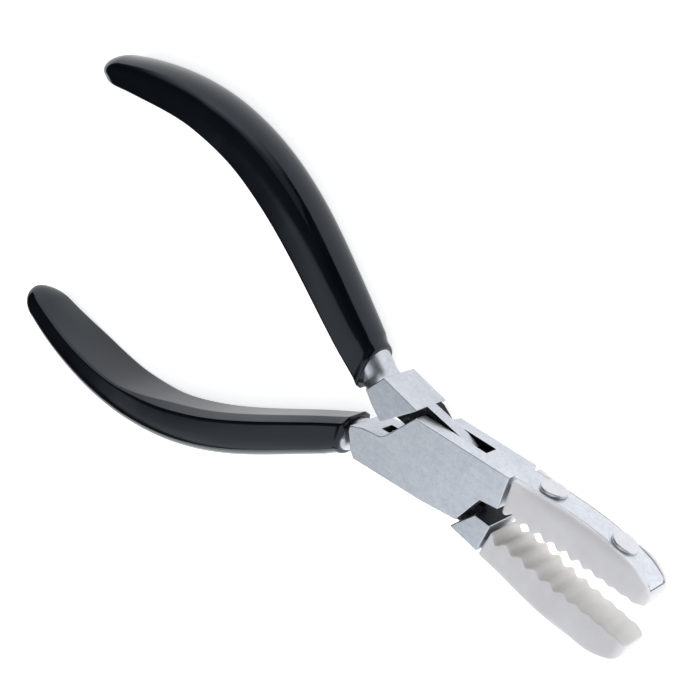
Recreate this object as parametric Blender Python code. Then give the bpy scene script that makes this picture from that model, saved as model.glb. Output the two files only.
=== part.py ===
"""Crimping pliers with corrugated nylon jaws, lying flat on their back face.

Two forged halves cross in a box joint and turn on a pin. The box half has a slot through the middle third of
its thickness, and the tongue half passes through that slot. Each half carries a dipped grip, and a nylon jaw
that is held on a narrow steel strap by two rivets.

Every shape is drawn in millimetres in the frame of its own half: the pin's axis is Z, the middle of the
thickness is Z = 0, and +X runs to the jaw tips along the centre line that the half has when the pliers are
shut. The two halves are then turned apart by HALF_OPENING. In the world, the pin's axis is the Z axis and
the back face of the box lies in the plane Z = 0.
"""

import math

import bpy
import bmesh
from mathutils import Matrix, Vector

MM = 0.001

# --- Driving dimensions, in millimetres and degrees ---------------------------------------------------------

HALF_OPENING = 5.72          # each half's turn away from the centre line

THICKNESS = 9.1              # both halves, front face to back face
SLOT = 3.1                   # the slot through the box half
TONGUE = 2.6                 # the part of the tongue half that runs in the slot
WEDGE_DEPTH = 3.0            # the tongue's root reaches this far back of the middle
WEDGE_LAP = 0.2              # and laps this far into the tongue
TONGUE_RADIUS = 7.65         # round flanks of the tongue, about the pin
SLOT_RADIUS = 8.15           # round ends of the slot, about the pin

PIN_RADIUS = 2.2
PIN_CLEARANCE = 0.15

STRAP_THICKNESS = 1.9
STRAP_WIDTH_ROOT = 6.0
STRAP_WIDTH_TIP = 5.1
STRAP_ROOT_X = 11.5          # where the strap begins, inside the solid end of the head
STRAP_TIP_X = 43.2

HEAD_END_X = 14.6            # front end of the solid head, where the bare straps begin
JAW_REACH = 28.6             # length over which a jaw's profile is drawn
JAW_ROOT_X = 15.25           # rear end of the nylon jaws
JAW_TIP_WIDTH = 7.3          # nylon width at the tips; at the root it is THICKNESS
RING_STEP = 0.38             # along the nylon jaws
GROOVE_ROOT = 0.9            # depth of the grooves in the rear half of a jaw and at its tip
GROOVE_TIP = 0.25
GROOVE_FADE_X = (28.0, 39.0)
NOSE = 1.6                   # the nylon's tips are rounded over this length
NOSE_DROP = 1.1
CHAMFER = 0.3
SHARP_CORNER = 0.4           # rounding of the nylon's outer edges at the root and at the tip
CORNER_RUN = 6.0             # the rounding grows to its full size over this length
SINK_START_X = 34.5          # from here to the next one the strap sinks into the nylon
SINK_END_X = 41.0
SINK_DEPTH = 0.85
CHANNEL_GAP = 0.25           # between a strap and the channel it lies in
CHANNEL_START_X = 12.0
CHANNEL_OPEN = 2.5           # the channel's cutter reaches this far out of the strap's outer face
STRAP_STATIONS = 16
SLOPE_STEP = 0.05            # half the length over which a profile's slope is taken

RIVET_X = (20.9, 35.7)
RIVET_HEAD_RADIUS = 2.5
RIVET_HEAD_HEIGHT = 0.65
RIVET_RIM = 0.25             # rounding of the head's rim
RIVET_CROWN = 0.05           # rise of the head from its rim to its flat middle
RIVET_CROWN_RADIUS = 1.2
RIVET_SHANK_RADIUS = 1.4
RIVET_LENGTH = 4.4
RIVET_GAP = 0.15
RIVET_HOLE_REACH = 3.0       # a hole's cutter stands this far out of the strap
HOLE_OVERRUN = 1.0           # and runs this far past its inner face

# Centre line of a handle, as a cubic Bezier that starts at the mouth of the grip.
HANDLE_CURVE = ((-19.05, 4.45), (-47.65, 18.35), (-63.7, 34.6), (-105.6, 14.1))
# Along that curve: share of its length, width on the side towards the other handle, width on the outer side,
# and half depth across the pliers.
GRIP_SECTIONS = ((0.0, 3.5, 3.7, 4.2), (0.05, 3.59, 3.86, 4.5), (0.1, 3.69, 4.02, 4.82),
                 (0.2, 3.84, 4.28, 5.12), (0.35, 4.02, 4.65, 5.36), (0.5, 4.02, 4.78, 5.46),
                 (0.6, 3.47, 4.76, 5.56), (0.7, 2.75, 4.74, 5.78), (0.8, 2.55, 4.56, 5.85),
                 (0.9, 2.3, 4.1, 5.5), (1.0, 1.8, 3.2, 4.4))
DOME_POWER = 2.15            # the outer side is a dome, a little squarer than an ellipse
EDGE_ROUND = 0.8             # rounding of the two long edges of the flat inner side
CORNER_LIMIT = 0.45          # a rounding takes no more than this share of the sides beside it
EDGE_CUT = (1.0, 0.3)        # those edges are cut back by this much near the mouth and near the tip
FLAT_SHARE = (0.55, 0.9)     # and leave this share of the depth flat
EDGE_FADE = (0.5, 0.7)       # shares of the curve between which the one turns into the other
UPPER_GRIP_END = 0.914       # each grip's round tip starts at this share of the curve
LOWER_GRIP_END = 0.945
TIP_ROUND = 2.1              # length of the round tip over the half width where it starts
TIP_SOFT = 0.45              # how far the section has turned into an oval at the end of the curve
TIP_SOFT_SHARES = (0.8, 0.97)
# Each grip was dipped up to a plane across the half: where it meets the handle's centre line, and how far it
# runs back for each millimetre away from the centre line of the half.
UPPER_MOUTH = (-20.4, 0.09)
LOWER_MOUTH = (-19.7, 0.0)
GRIP_WALL = 1.35
GRIP_MOUTH_WALL = 0.4
GRIP_WALL_RUN = 0.12         # share of the curve over which the wall reaches its full thickness
CORE_GAP = 0.25
CAVITY_END = 0.96            # of the grip's length
CORE_END = 0.95
# The neck inside and just behind the head: middle of the section, half width, half depth.
NECK_SECTIONS = ((-14.8, 4.6, 2.2, 3.9), (-17.35, 3.8, 2.85, 4.15))

DOME_STEPS = 5
EDGE_STEPS = 2
GRIP_STATIONS = 22
CORE_STATIONS = 15
TIP_ANGLES = (30.0, 55.0, 75.0)
ARC_STEP = 8.0               # degrees between the points of a round outline
ROUND_SIDES = 32

# Outlines, anticlockwise. The box half's handle is at -Y and its jaw at +Y; the tongue half is the other way.
BOX_HEAD = ((14.4, -0.1), (14.6, 6.25), (-5.8, 6.83), (-9.0, 2.8), (-10.6, 0.8), (-11.7, 0.0), (-13.5, -0.1),
            (-15.5, -0.35), (-18.1, -1.2), (-18.2, -2.2), (-16.6, -5.6), (-15.6, -6.75), (-0.5, -6.7),
            (7.5, -6.2), (10.65, -0.45))
BACK_WALL_CUT = ((-2.1, 9.0), (-12.5, 9.0), (-12.5, 0.15), (-8.2, 0.15), (-3.4, 5.7), (-2.1, 6.6))
SHOULDER_BLOCK = ((-7.35, 6.9), (-16.0, 7.45), (-18.1, 3.1), (-15.6, 1.5), (-12.8, 0.1), (-10.05, 3.4))
JAW_SHOULDER = ((8.2, -6.3), (14.8, -6.45), (14.6, -0.72), (11.2, -1.08))


# --- Materials ----------------------------------------------------------------------------------------------

def principled(name, colour, roughness, metallic):
    material = bpy.data.materials.new(name)
    material.use_nodes = True
    shader = material.node_tree.nodes["Principled BSDF"]
    shader.inputs["Base Color"].default_value = (*colour, 1.0)
    shader.inputs["Roughness"].default_value = roughness
    shader.inputs["Metallic"].default_value = metallic
    material.diffuse_color = (*colour, 1.0)
    return material


# --- Mesh helpers -------------------------------------------------------------------------------------------

def mesh_object(name, vertices, faces, frame, material=None):
    """A closed mesh given in millimetres, in the frame of one half."""
    mesh = bpy.data.meshes.new(name)
    mesh.from_pydata([Vector(v) * MM for v in vertices], [], faces)
    shell = bmesh.new()
    shell.from_mesh(mesh)
    bmesh.ops.recalc_face_normals(shell, faces=shell.faces)
    shell.to_mesh(mesh)
    shell.free()
    if material:
        mesh.materials.append(material)
    body = bpy.data.objects.new(name, mesh)
    bpy.context.scene.collection.objects.link(body)
    body.parent = frame
    return body


def prism(name, outline, low, high, frame, material=None):
    """An outline in the XY plane, extruded from Z = low to Z = high."""
    rings = [[(x, y, z) for x, y in outline] for z in (low, high)]
    return loft(name, rings, frame, material)


def loft(name, rings, frame, material=None):
    """Rings with the same number of points, joined in order, with a flat cap on the first and the last."""
    count = len(rings[0])
    vertices = [point for ring in rings for point in ring]
    faces = []
    for row in range(len(rings) - 1):
        for i in range(count):
            j = (i + 1) % count
            faces.append((row * count + i, row * count + j, (row + 1) * count + j, (row + 1) * count + i))
    faces.append(tuple(range(count)))
    last = (len(rings) - 1) * count
    faces.append(tuple(range(last, last + count)))
    return mesh_object(name, vertices, faces, frame, material)


def boolean(body, tool, operation):
    modifier = body.modifiers.new(tool.name, "BOOLEAN")
    modifier.operation = operation
    modifier.solver = "EXACT"
    modifier.object = tool
    tool.hide_render = True
    tool.display_type = "WIRE"


def shade(body, angle=35.0):
    body.data.shade_smooth()
    body.data.set_sharp_from_angle(angle=math.radians(angle))


def arc(radius, start, end):
    """Points on a circle about the pin, from one angle to another in degrees."""
    steps = max(1, round(abs(end - start) / ARC_STEP))
    angles = [math.radians(start + (end - start) * i / steps) for i in range(steps + 1)]
    return [(radius * math.cos(a), radius * math.sin(a)) for a in angles]


def rod(name, radius, centre, direction, start, end, frame, material=None):
    """A round bar along a direction through a centre, between two distances from that centre."""
    axis = Vector(direction).normalized()
    side = axis.orthogonal().normalized()
    other = axis.cross(side)
    rings = []
    for distance in (start, end):
        middle = Vector(centre) + axis * distance
        rings.append([tuple(middle + (side * math.cos(a) + other * math.sin(a)) * radius)
                      for a in (2.0 * math.pi * i / ROUND_SIDES for i in range(ROUND_SIDES))])
    return loft(name, rings, frame, material)


def smooth(x, start, end):
    """0 before start, 1 after end, and an even blend between."""
    t = min(1.0, max(0.0, (x - start) / (end - start)))
    return t * t * (3.0 - 2.0 * t)


# --- Handles ------------------------------------------------------------------------------------------------

def handle_point(share):
    """A point of the handle's centre line and the direction in which it runs there."""
    a, b, c, d = (Vector(p) for p in HANDLE_CURVE)
    u = 1.0 - share
    point = a * u ** 3 + b * 3.0 * u * u * share + c * 3.0 * u * share * share + d * share ** 3
    along = (b - a) * u * u + (c - b) * 2.0 * u * share + (d - c) * share * share
    return point, along.normalized()


def grip_section(share):
    """Inner width, outer width and half depth of the grip at a share of the curve."""
    for before, after in zip(GRIP_SECTIONS, GRIP_SECTIONS[1:]):
        if share <= after[0]:
            t = (share - before[0]) / (after[0] - before[0])
            return [a + (b - a) * t for a, b in zip(before[1:], after[1:])]
    return list(GRIP_SECTIONS[-1][1:])


def rounded_corner(before, corner, after):
    """Points of the short curve that replaces a corner."""
    before = Vector(before)
    corner = Vector(corner)
    after = Vector(after)
    angle = (before - corner).angle(after - corner)
    cut = EDGE_ROUND / math.tan(angle / 2.0)
    cut = min(cut, CORNER_LIMIT * (before - corner).length, CORNER_LIMIT * (after - corner).length)
    first = corner + (before - corner).normalized() * cut
    last = corner + (after - corner).normalized() * cut
    points = []
    for k in range(EDGE_STEPS + 1):
        t = k / EDGE_STEPS
        points.append(tuple(first * (1.0 - t) ** 2 + corner * 2.0 * t * (1.0 - t) + last * t * t))
    return points


def grip_outline(share, inset, roundness=0.0):
    """The grip's section as (outward, depth) points: domed outside, flat with cut-back edges inside.

    Towards the tip, and by the given roundness, it turns into an oval.
    """
    inner, outer, depth = (size - inset for size in grip_section(share))
    fade = smooth(share, *EDGE_FADE)
    cut = EDGE_CUT[0] + (EDGE_CUT[1] - EDGE_CUT[0]) * fade
    flat = depth * (FLAT_SHARE[0] + (FLAT_SHARE[1] - FLAT_SHARE[0]) * fade)
    front = []
    for k in range(DOME_STEPS + 1):
        a = math.radians(90.0 * k / DOME_STEPS)
        power = 2.0 / DOME_POWER
        front.append((outer * max(0.0, math.cos(a)) ** power, depth * math.sin(a) ** power))
    front += rounded_corner((0.0, depth), (cut - inner, depth), (-inner, flat))
    front += rounded_corner((cut - inner, depth), (-inner, flat), (-inner, 0.0))
    soft = TIP_SOFT * smooth(share, *TIP_SOFT_SHARES)
    soft += (1.0 - soft) * roundness
    middle = (outer - inner) / 2.0
    half = (outer + inner) / 2.0
    for k, (w, d) in enumerate(front):
        a = math.atan2(d / depth, (w - middle) / half)
        w += (middle + half * math.cos(a) - w) * soft
        d += (depth * math.sin(a) - d) * soft
        front[k] = (w, d)
    return front + [(w, -d) for w, d in reversed(front[1:])]


def ring_across(point, along, outline, side):
    """An outline set across the handle; side is +1 for a handle at +Y and -1 for one at -Y."""
    outward = Vector((along.y, -along.x))
    ring = []
    for width, depth in outline:
        flat = point + outward * width
        ring.append((flat.x, flat.y * side, depth))
    return ring


def oval(half_width, half_depth):
    """An ellipse with its points in the same directions as those of the grip's outline."""
    inner, outer, depth = grip_section(0.0)
    points = []
    for w, d in grip_outline(0.0, 0.0):
        a = math.atan2(d / depth, w * 2.0 / (inner + outer))
        points.append((half_width * math.cos(a), half_depth * math.sin(a)))
    return points


def handle_ring(share, inset, side):
    """A section of the handle, drawn in from the outside of the grip by an inset."""
    return ring_across(*handle_point(share), grip_outline(share, inset), side)


def mouth_ring(mouth, inset, side):
    """The first section, slid along the handle to the plane up to which the grip was dipped."""
    centre, along = handle_point(0.0)
    mouth_x, slant = mouth
    ring = []
    for x, y, z in handle_ring(0.0, inset, side):
        height = y * side
        slide = (mouth_x - slant * (height - centre.y) - x) / (along.x + slant * along.y)
        ring.append((x + along.x * slide, (height + along.y * slide) * side, z))
    return ring


def grip_wall(share):
    return GRIP_MOUTH_WALL + (GRIP_WALL - GRIP_MOUTH_WALL) * min(1.0, share / GRIP_WALL_RUN)


def grip(name, side, end, mouth, frame, material):
    """A dipped sleeve: its outside to the round tip, then back along the cavity for the steel core."""
    rings = [mouth_ring(mouth, 0.0, side)]
    rings += [handle_ring(end * i / GRIP_STATIONS, 0.0, side) for i in range(1, GRIP_STATIONS + 1)]
    tip, along = handle_point(end)
    length = TIP_ROUND * (grip_section(end)[0] + grip_section(end)[1]) / 2.0
    for angle in TIP_ANGLES:
        shrink = math.cos(math.radians(angle))
        reach = math.sin(math.radians(angle))
        outline = [(w * shrink, d * shrink) for w, d in grip_outline(end, 0.0, reach)]
        rings.append(ring_across(tip + along * length * reach, along, outline, side))
    outside = len(rings)
    rings.append(mouth_ring(mouth, GRIP_MOUTH_WALL, side))
    for i in range(1, CORE_STATIONS + 1):
        share = end * CAVITY_END * i / CORE_STATIONS
        rings.append(handle_ring(share, grip_wall(share), side))
    count = len(rings[0])
    vertices = [point for ring in rings for point in ring]
    joins = [(row, row + 1) for row in range(outside - 1)]
    joins += [(row, row + 1) for row in range(outside, len(rings) - 1)]
    joins.append((0, outside))
    faces = []
    for first, second in joins:
        for i in range(count):
            j = (i + 1) % count
            faces.append((first * count + i, first * count + j, second * count + j, second * count + i))
    for row in (outside - 1, len(rings) - 1):
        faces.append(tuple(range(row * count, (row + 1) * count)))
    sleeve = mesh_object(name, vertices, faces, frame, material)
    shade(sleeve, 50.0)
    return sleeve


def core(name, side, end, frame):
    """The neck between head and grip, and the steel core inside the grip."""
    rings = []
    along = handle_point(0.0)[1]
    for x, y, half_width, half_depth in NECK_SECTIONS:
        rings.append(ring_across(Vector((x, y)), along, oval(half_width, half_depth), side))
    for i in range(CORE_STATIONS + 1):
        share = end * CORE_END * i / CORE_STATIONS
        rings.append(handle_ring(share, grip_wall(share) + CORE_GAP, side))
    return loft(name, rings, frame)


# --- Jaws ---------------------------------------------------------------------------------------------------

class Jaw:
    """The long profile of one jaw. side is +1 for the jaw at +Y and -1 for the jaw at -Y.

    Heights are measured from the centre line towards the jaw's own outer side.
    """

    def __init__(self, side, outer_root, flare, drop, power, proud, round_height, round_inset, crest_root,
                 crest_slope, first_crest, pitch, tightening, first_groove, tip_x):
        self.side = side
        self.outer_root = outer_root
        self.flare = flare
        self.drop = drop
        self.power = power
        self.proud = proud
        self.round_height = round_height
        self.round_inset = round_inset
        self.crest_root = crest_root
        self.crest_slope = crest_slope
        self.first_crest = first_crest
        self.pitch = pitch
        self.tightening = tightening
        self.first_groove = first_groove
        self.tip_x = tip_x

    def outer(self, x):
        """Height of the strap's outer face, which curls in towards the tip."""
        run = max(0.0, x - HEAD_END_X)
        return self.outer_root + self.flare * run - self.drop * (run / JAW_REACH) ** self.power

    def nylon_outer(self, x):
        """Height of the nylon beside the strap, which sinks into the nylon towards the tip."""
        sink = smooth(x, SINK_START_X, SINK_END_X)
        return self.outer(x) + self.proud + (SINK_DEPTH - self.proud) * sink

    def corner(self, x):
        """Height and width of the rounding along the nylon's two outer edges."""
        share = smooth(x, JAW_ROOT_X, JAW_ROOT_X + CORNER_RUN) * (1.0 - smooth(x, SINK_START_X, SINK_END_X))
        height = SHARP_CORNER + (self.round_height - SHARP_CORNER) * share
        return height, SHARP_CORNER + (self.round_inset - SHARP_CORNER) * share

    def normal(self, x):
        """Unit normal of the strap's outer face, pointing out of the jaw."""
        slope = (self.outer(x + SLOPE_STEP) - self.outer(x - SLOPE_STEP)) / (2.0 * SLOPE_STEP)
        return Vector((-slope, self.side, 0.0)).normalized()

    def gripping(self, x):
        """Height of the gripping face: a straight run of crests with round grooves between them.

        Crest number n lies at first_crest + pitch * n - tightening * n * n.
        """
        crest = self.crest_root + self.crest_slope * (x - JAW_ROOT_X)
        root = math.sqrt(self.pitch ** 2 - 4.0 * self.tightening * (x - self.first_crest))
        turn = (self.pitch - root) / (2.0 * self.tightening)
        depth = self.first_groove if turn < 0.0 else GROOVE_ROOT
        depth += (GROOVE_TIP - GROOVE_ROOT) * smooth(x, *GROOVE_FADE_X)
        return crest + depth * (0.5 - 0.5 * math.cos(2.0 * math.pi * turn))

    def strap_half_width(self, x):
        s = (x - HEAD_END_X) / (STRAP_TIP_X - HEAD_END_X)
        return 0.5 * (STRAP_WIDTH_ROOT + (STRAP_WIDTH_TIP - STRAP_WIDTH_ROOT) * max(0.0, s))

    def nylon_half_width(self, x):
        s = (x - JAW_ROOT_X) / (self.tip_x - JAW_ROOT_X)
        return 0.5 * (THICKNESS + (JAW_TIP_WIDTH - THICKNESS) * s)


def strap_rings(jaw, start, end, stations, out, deep, wide):
    """Rectangles across the strap along its curved profile, enlarged outwards, inwards and sideways."""
    rings = []
    for i in range(stations + 1):
        x = start + (end - start) * i / stations
        outward = jaw.normal(x)
        outer = Vector((x, jaw.outer(x) * jaw.side, 0.0)) + outward * out
        inner = outer - outward * (out + STRAP_THICKNESS + deep)
        half = jaw.strap_half_width(x) + wide
        corners = ((outer, half), (inner, half), (inner, -half), (outer, -half))
        rings.append([(p.x, p.y, z) for p, z in corners])
    return rings


def nylon_jaw(name, jaw, frame, material):
    """Nylon block: flat sides, grooved gripping face, rounded outer edges and a channel for the strap."""
    stations = round((jaw.tip_x - JAW_ROOT_X) / RING_STEP)
    rings = []
    for i in range(stations + 1):
        x = JAW_ROOT_X + (jaw.tip_x - JAW_ROOT_X) * i / stations
        nose = max(0.0, (x - jaw.tip_x + NOSE) / NOSE)
        shrink = NOSE_DROP * (1.0 - math.sqrt(max(0.0, 1.0 - nose * nose)))
        half = jaw.nylon_half_width(x) - shrink
        low = jaw.gripping(x) + shrink
        high = jaw.nylon_outer(x) - shrink
        height, inset = jaw.corner(x)
        curve = [(half - inset + inset * math.cos(a), high - height + height * math.sin(a))
                 for a in (math.radians(d) for d in (0.0, 30.0, 60.0, 90.0))]
        right = [(half - CHAMFER, low), (half, low + CHAMFER)] + curve
        section = right + [(-z, y) for z, y in reversed(right)]
        rings.append([(x, y * jaw.side, z) for z, y in section])
    block = loft(name, rings, frame, material)
    reach = STRAP_TIP_X + CHANNEL_GAP
    channel = strap_rings(jaw, CHANNEL_START_X, reach, STRAP_STATIONS, CHANNEL_OPEN, CHANNEL_GAP, CHANNEL_GAP)
    boolean(block, loft(name + "_channel", channel, frame), "DIFFERENCE")
    shade(block)
    return block


def rivet_place(jaw, x):
    return Vector((x, jaw.outer(x) * jaw.side, 0.0)), jaw.normal(x)


def drill_for_rivets(body, jaw, frame, depth):
    for number, x in enumerate(RIVET_X):
        place, outward = rivet_place(jaw, x)
        name = f"{body.name}_hole_{number}"
        hole = rod(name, RIVET_SHANK_RADIUS + RIVET_GAP, place, outward, -depth, RIVET_HOLE_REACH, frame)
        boolean(body, hole, "DIFFERENCE")


def rivet(name, jaw, x, frame, material):
    """A flat round head with a softened rim, and its shank into the nylon."""
    place, outward = rivet_place(jaw, x)
    side = outward.orthogonal().normalized()
    other = outward.cross(side)
    top = RIVET_GAP + RIVET_HEAD_HEIGHT
    profile = ((RIVET_SHANK_RADIUS, -RIVET_LENGTH), (RIVET_SHANK_RADIUS, RIVET_GAP),
               (RIVET_HEAD_RADIUS, RIVET_GAP), (RIVET_HEAD_RADIUS, top - RIVET_RIM),
               (RIVET_HEAD_RADIUS - RIVET_RIM, top - RIVET_CROWN), (RIVET_CROWN_RADIUS, top))
    rings = []
    for radius, height in profile:
        middle = place + outward * height
        rings.append([tuple(middle + (side * math.cos(a) + other * math.sin(a)) * radius)
                      for a in (2.0 * math.pi * i / ROUND_SIDES for i in range(ROUND_SIDES))])
    body = loft(name, rings, frame, material)
    shade(body)
    return body


# --- The two halves -----------------------------------------------------------------------------------------

def slot_outline():
    """The space that the tongue sweeps inside the box half, open at both edges of the head."""
    right = [(7.7, 9.0), (7.7, 6.4)] + arc(SLOT_RADIUS, 34.0, -2.0) + [(10.7, -0.45), (10.7, -9.0)]
    left = [(-7.7, -9.0), (-7.7, -6.4)] + arc(SLOT_RADIUS, 214.0, 188.0)
    left += [(-12.4, -1.9), (-13.6, 0.2), (-13.6, 9.0)]
    return list(reversed(right + left))


def tongue_outline():
    """The tongue from inside the shoulder block to inside the jaw shoulder."""
    top = [(-13.0, 4.0), (-9.0, 6.6), (-7.35, 6.9), (0.4, 6.72), (1.9, 6.5), (3.4, 6.2)]
    flank = arc(TONGUE_RADIUS, 49.0, -8.0) + [(12.6, -1.06), (13.0, -4.0)]
    bottom = [(9.0, -6.3), (-0.4, -6.55), (-1.9, -6.4), (-3.4, -6.15)]
    other_flank = arc(TONGUE_RADIUS, 229.0, 172.0) + [(-12.6, 1.06)]
    return list(reversed(top + flank + bottom + other_flank))


def root_wedge_rings():
    """The tongue thickens towards the shoulder block on its back face."""
    deep = [(-6.8, 6.85), (-12.6, 6.95), (-12.6, 1.6), (-11.0, 1.4)]
    shallow = [(-2.9, 6.75), (-12.6, 6.95), (-12.6, 1.6), (-7.6, 1.4)]
    top = -TONGUE / 2 + WEDGE_LAP
    return [[(x, y, -WEDGE_DEPTH) for x, y in deep], [(x, y, top) for x, y in shallow]]


def strap(name, jaw, frame):
    """The narrow steel bar that carries the nylon jaw."""
    return loft(name, strap_rings(jaw, STRAP_ROOT_X, STRAP_TIP_X, STRAP_STATIONS, 0.0, 0.0, 0.0), frame)


def pin_rod(name, radius, reach, frame, material=None):
    """A round bar on the pin's axis, the same length to each side of the middle of the thickness."""
    return rod(name, radius, (0.0, 0.0, 0.0), (0.0, 0.0, 1.0), -reach, reach, frame, material)


def box_half(frame, jaw, material):
    body = prism("box_half", list(reversed(BOX_HEAD)), -THICKNESS / 2, THICKNESS / 2, frame, material)
    boolean(body, prism("box_slot", slot_outline(), -SLOT / 2, SLOT / 2, frame), "DIFFERENCE")
    boolean(body, prism("back_wall_cut", BACK_WALL_CUT, -THICKNESS, -SLOT / 4, frame), "DIFFERENCE")
    boolean(body, core("box_half_core", -jaw.side, LOWER_GRIP_END, frame), "UNION")
    boolean(body, strap("box_half_strap", jaw, frame), "UNION")
    boolean(body, pin_rod("box_pin_hole", PIN_RADIUS + PIN_CLEARANCE, THICKNESS, frame), "DIFFERENCE")
    drill_for_rivets(body, jaw, frame, STRAP_THICKNESS + HOLE_OVERRUN)
    shade(body)
    return body


def tongue_half(frame, jaw, material):
    body = prism("tongue_half", tongue_outline(), -TONGUE / 2, TONGUE / 2, frame, material)
    boolean(body, prism("shoulder_block", SHOULDER_BLOCK, -THICKNESS / 2, THICKNESS / 2, frame), "UNION")
    boolean(body, prism("jaw_shoulder", JAW_SHOULDER, -THICKNESS / 2, THICKNESS / 2, frame), "UNION")
    boolean(body, loft("tongue_root_wedge", root_wedge_rings(), frame), "UNION")
    boolean(body, core("tongue_half_core", -jaw.side, UPPER_GRIP_END, frame), "UNION")
    boolean(body, strap("tongue_half_strap", jaw, frame), "UNION")
    boolean(body, pin_rod("tongue_pin_hole", PIN_RADIUS + PIN_CLEARANCE, THICKNESS, frame), "DIFFERENCE")
    drill_for_rivets(body, jaw, frame, STRAP_THICKNESS + HOLE_OVERRUN)
    shade(body)
    return body


def half_frame(name, turn):
    """An empty on the pin's axis, in the middle of the thickness."""
    frame = bpy.data.objects.new(name, None)
    bpy.context.scene.collection.objects.link(frame)
    frame.location = (0.0, 0.0, THICKNESS / 2 * MM)
    frame.rotation_euler = (0.0, 0.0, math.radians(turn))
    return frame


def build():
    for old in list(bpy.data.objects):
        bpy.data.objects.remove(old, do_unlink=True)

    steel = principled("stainless_steel", (0.62, 0.64, 0.67), 0.32, 1.0)
    pin_steel = principled("pin_steel", (0.60, 0.62, 0.65), 0.30, 1.0)
    rivet_metal = principled("rivet_metal", (0.72, 0.73, 0.75), 0.30, 1.0)
    nylon = principled("white_nylon", (0.82, 0.82, 0.80), 0.42, 0.0)
    dipped = principled("black_vinyl", (0.012, 0.013, 0.016), 0.22, 0.0)

    fixed = half_frame("box_half_frame", HALF_OPENING)
    moving = half_frame("tongue_half_frame", -HALF_OPENING)

    upper = Jaw(1, outer_root=6.15, flare=-0.035, drop=4.8, power=4.4, proud=-0.05, round_height=2.6,
                round_inset=1.1, crest_root=-0.35, crest_slope=-0.075, first_crest=15.8, pitch=2.93,
                tightening=0.035, first_groove=0.9, tip_x=43.9)
    lower = Jaw(-1, outer_root=6.4, flare=0.11, drop=4.9, power=3.7, proud=0.25, round_height=1.2,
                round_inset=0.8, crest_root=1.52, crest_slope=-0.022, first_crest=18.65, pitch=3.3,
                tightening=0.045, first_groove=1.4, tip_x=44.6)

    box_half(fixed, upper, steel)
    tongue_half(moving, lower, steel)

    shade(pin_rod("pivot_pin", PIN_RADIUS, THICKNESS / 2, fixed, pin_steel))

    grip("lower_grip", -1, LOWER_GRIP_END, LOWER_MOUTH, fixed, dipped)
    grip("upper_grip", 1, UPPER_GRIP_END, UPPER_MOUTH, moving, dipped)

    for name, jaw, frame in (("upper", upper, fixed), ("lower", lower, moving)):
        pad = nylon_jaw(name + "_nylon_jaw", jaw, frame, nylon)
        drill_for_rivets(pad, jaw, frame, RIVET_LENGTH + RIVET_GAP)
        for place, x in zip(("rear", "front"), RIVET_X):
            rivet(f"{name}_{place}_rivet", jaw, x, frame, rivet_metal)


build()
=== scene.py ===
"""Looks of the crimping pliers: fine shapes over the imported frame, procedural materials, light and camera.

Shapes are drawn in millimetres in the frame of their own half, as in the CAD: the pin's axis is Z, the middle
of the thickness is Z = 0, and +X runs to the jaw tips. place() then turns and lifts them into the row frame.
"""

import math

import bmesh
import bpy
from mathutils import Matrix, Vector

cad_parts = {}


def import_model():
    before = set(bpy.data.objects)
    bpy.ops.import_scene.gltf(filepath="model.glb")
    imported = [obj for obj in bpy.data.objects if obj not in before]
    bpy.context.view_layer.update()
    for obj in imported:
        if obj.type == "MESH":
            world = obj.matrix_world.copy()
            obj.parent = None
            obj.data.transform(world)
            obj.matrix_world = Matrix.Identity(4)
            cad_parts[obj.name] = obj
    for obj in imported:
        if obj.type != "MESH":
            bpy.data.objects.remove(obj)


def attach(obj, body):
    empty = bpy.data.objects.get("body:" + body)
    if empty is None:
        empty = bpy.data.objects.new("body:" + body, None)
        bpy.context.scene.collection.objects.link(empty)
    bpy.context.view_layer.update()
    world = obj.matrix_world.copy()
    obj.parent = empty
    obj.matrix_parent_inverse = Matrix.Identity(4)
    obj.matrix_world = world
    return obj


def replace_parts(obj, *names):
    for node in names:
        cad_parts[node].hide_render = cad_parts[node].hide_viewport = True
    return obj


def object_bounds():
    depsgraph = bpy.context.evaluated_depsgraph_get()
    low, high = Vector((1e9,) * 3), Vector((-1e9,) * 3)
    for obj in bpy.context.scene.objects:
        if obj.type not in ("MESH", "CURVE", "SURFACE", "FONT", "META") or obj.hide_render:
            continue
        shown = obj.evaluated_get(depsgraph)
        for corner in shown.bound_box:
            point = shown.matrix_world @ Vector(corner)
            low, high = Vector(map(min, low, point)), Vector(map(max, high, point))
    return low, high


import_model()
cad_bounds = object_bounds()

MM = 0.001

# Tables of points give x and y, in the frame of their own half, unless a comment says otherwise.

# --- Dimensions shared with the CAD, in millimetres and degrees ---------------------------------------------

HALF_OPENING = 5.72
THICKNESS = 9.1
SLOT = 3.1
TONGUE = 2.6
WEDGE_DEPTH = 3.0
TONGUE_RADIUS = 7.65
SLOT_RADIUS = 8.15
PIN_RADIUS = 2.2

STRAP_THICKNESS = 1.9
STRAP_WIDTH_ROOT = 6.0
STRAP_WIDTH_TIP = 5.1
STRAP_ROOT_X = 11.5
STRAP_TIP_X = 43.2
HEAD_END_X = 14.6
JAW_REACH = 28.6
JAW_ROOT_X = 15.25
JAW_TIP_WIDTH = 7.3
GROOVE_ROOT = 0.9
GROOVE_TIP = 0.25
GROOVE_FADE_X = (28.0, 39.0)
NOSE = 1.6
NOSE_DROP = 1.1
SHARP_CORNER = 0.4
CORNER_RUN = 6.0
SINK_START_X = 34.5
SINK_END_X = 41.0
SINK_DEPTH = 0.85
CHANNEL_START_X = 12.0
CHANNEL_OPEN = 2.5
SLOPE_STEP = 0.05

RIVET_X = (20.9, 35.7)
RIVET_HEAD_RADIUS = 2.5
RIVET_HEAD_HEIGHT = 0.65
RIVET_SHANK_RADIUS = 1.4
RIVET_LENGTH = 4.4
RIVET_GAP = 0.15

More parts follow.
